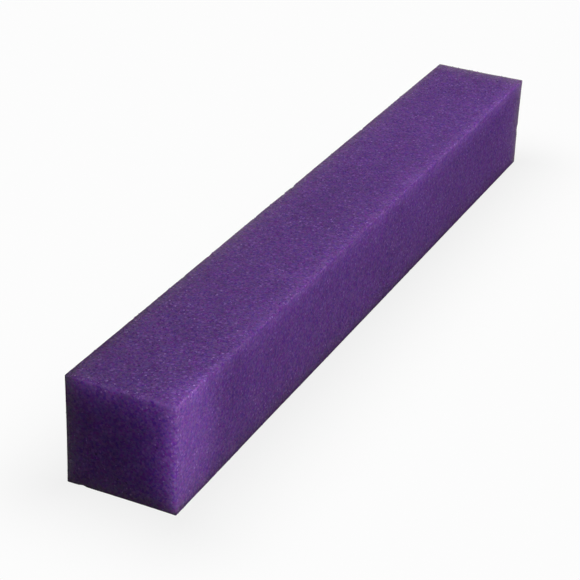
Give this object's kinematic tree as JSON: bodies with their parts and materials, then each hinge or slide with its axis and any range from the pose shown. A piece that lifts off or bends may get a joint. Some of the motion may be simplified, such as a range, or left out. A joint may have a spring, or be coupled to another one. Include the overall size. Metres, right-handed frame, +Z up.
{
  "type": "abrasive stick",
  "caption": "Square rubber-bonded abrasive stick, a solid purple bar with flat faces and eased edges for hand sanding and deburring.",
  "frame": {"origin": "centre of the bottom long face, which the bar lies on", "axes": "+Z up, +Y along the bar's length from the front end to the back end, +X to the right seen from the front end"},
  "size_m": [0.019, 0.1524, 0.0191],
  "materials": {
    "bonded_abrasive": "matte"
  },
  "bodies": {
    "root": {"abrasive_stick": "bonded_abrasive"}
  },
  "joints": []
}
